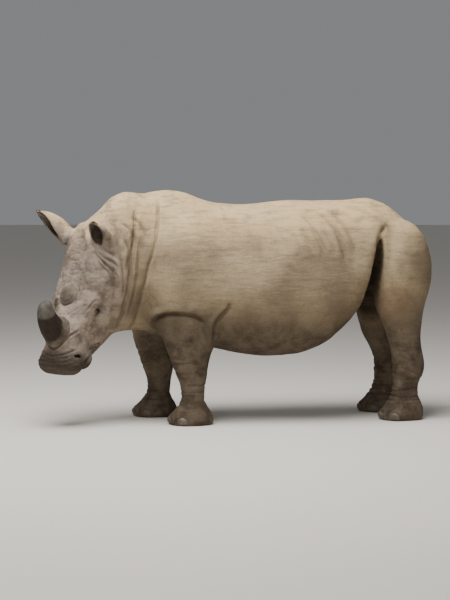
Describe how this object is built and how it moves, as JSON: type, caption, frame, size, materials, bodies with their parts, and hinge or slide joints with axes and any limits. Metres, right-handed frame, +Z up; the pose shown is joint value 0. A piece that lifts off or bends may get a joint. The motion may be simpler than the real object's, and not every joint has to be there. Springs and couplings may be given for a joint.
{
  "type": "white rhinoceros",
  "caption": "Still, life-size white rhinoceros standing with its head turned to its left and two blunt horn stubs, resting on four flat soles.",
  "frame": {"origin": "on the floor, under the middle of the model's box", "axes": "+Z up, the animal faces -Y, its left side is +X"},
  "size_m": [1.0106, 3.0597, 1.7649],
  "materials": {
    "hide": "dry, dusty, wrinkled hide, matte",
    "horn": "fibrous horn, worn, matte",
    "nail": "smooth worn horn, matte",
    "eye": "wet, glossy"
  },
  "bodies": {
    "root": {"head": "hide", "lower_jaw": "hide", "neck": "hide", "trunk_shoulders": "hide", "trunk_barrel": "hide", "trunk_rump": "hide", "tail": "hide", "ear_left": "hide", "ear_right": "hide", "leg_front_left": "hide", "leg_front_right": "hide", "leg_hind_left": "hide", "leg_hind_right": "hide", "foot_front_left": "hide", "foot_front_right": "hide", "foot_hind_left": "hide", "foot_hind_right": "hide", "eye_left": "eye", "eye_right": "eye", "horn_front": "horn", "horn_rear": "horn", "nail_front_left_1": "nail", "nail_front_left_2": "nail", "nail_front_left_3": "nail", "nail_front_right_1": "nail", "nail_front_right_2": "nail", "nail_front_right_3": "nail", "nail_hind_left_1": "nail", "nail_hind_left_2": "nail", "nail_hind_left_3": "nail", "nail_hind_right_1": "nail", "nail_hind_right_2": "nail", "nail_hind_right_3": "nail"}
  },
  "joints": []
}
